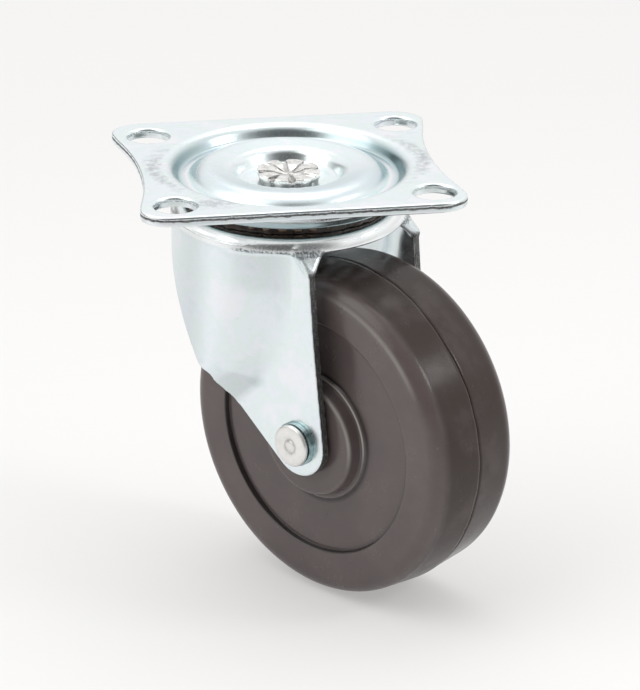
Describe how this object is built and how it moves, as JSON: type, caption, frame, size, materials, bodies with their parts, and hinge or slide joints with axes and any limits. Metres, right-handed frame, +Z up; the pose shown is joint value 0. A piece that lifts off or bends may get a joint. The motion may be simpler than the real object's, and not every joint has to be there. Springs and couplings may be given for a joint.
{
  "type": "swivel plate castor",
  "caption": "Swivel castor with a pressed steel mounting plate, a ball-race swivel head, a pressed fork and a solid rubber wheel on a riveted axle.",
  "frame": {"origin": "centre of the bolt holes, on the swivel axis, in the plane of the plate's mounting face", "axes": "+Z up out of the mounting face along the swivel axis, +X along the plate's long side, +Y across it; the fork is swivelled 52.7 degrees clockwise from +X at rest, as in the picture"},
  "size_m": [0.0797, 0.0829, 0.0937],
  "materials": {
    "zinc_plate": "bright zinc plating, satin",
    "zinc_fork": "bright zinc plating with a blue tint, satin",
    "zinc_race": "zinc plating, greased",
    "zinc_washer": "blue zinc plating",
    "kingpin_steel": "peened bright steel",
    "rivet_steel": "peened bright steel",
    "ball_steel": "polished, greased",
    "wheel_rubber": "satin moulded rubber, dark brown-black"
  },
  "bodies": {
    "plate": {"top_plate": "zinc_plate", "kingpin": "kingpin_steel", "lower_race": "zinc_race"},
    "fork": {"swivel_fork": "zinc_fork", "axle_rivet": "rivet_steel", "axle_sleeve": "zinc_race", "near_washer": "zinc_washer", "far_washer": "zinc_washer"},
    "wheel": {"wheel": "wheel_rubber"},
    "upper_ball_ring": {"upper_balls": "ball_steel"},
    "lower_ball_ring": {"lower_balls": "ball_steel"}
  },
  "joints": [
    {"name": "swivel", "type": "hinge", "parent": "plate", "child": "fork", "pos_m": [0, 0, 0], "axis": [0, 0, 1], "continuous": true},
    {"name": "wheel_spin", "type": "hinge", "parent": "fork", "child": "wheel", "pos_m": [0.01202, -0.01578, -0.05573], "axis": [0.7955, 0.606, 0], "continuous": true},
    {"name": "upper_ball_roll", "type": "hinge", "parent": "plate", "child": "upper_ball_ring", "pos_m": [0, 0, 0], "axis": [0, 0, 1], "continuous": true},
    {"name": "lower_ball_roll", "type": "hinge", "parent": "plate", "child": "lower_ball_ring", "pos_m": [0, 0, 0], "axis": [0, 0, 1], "continuous": true}
  ],
  "couplings": [
    {"joint": "upper_ball_roll", "follows": "swivel", "ratio": 0.5},
    {"joint": "lower_ball_roll", "follows": "swivel", "ratio": 0.5}
  ]
}
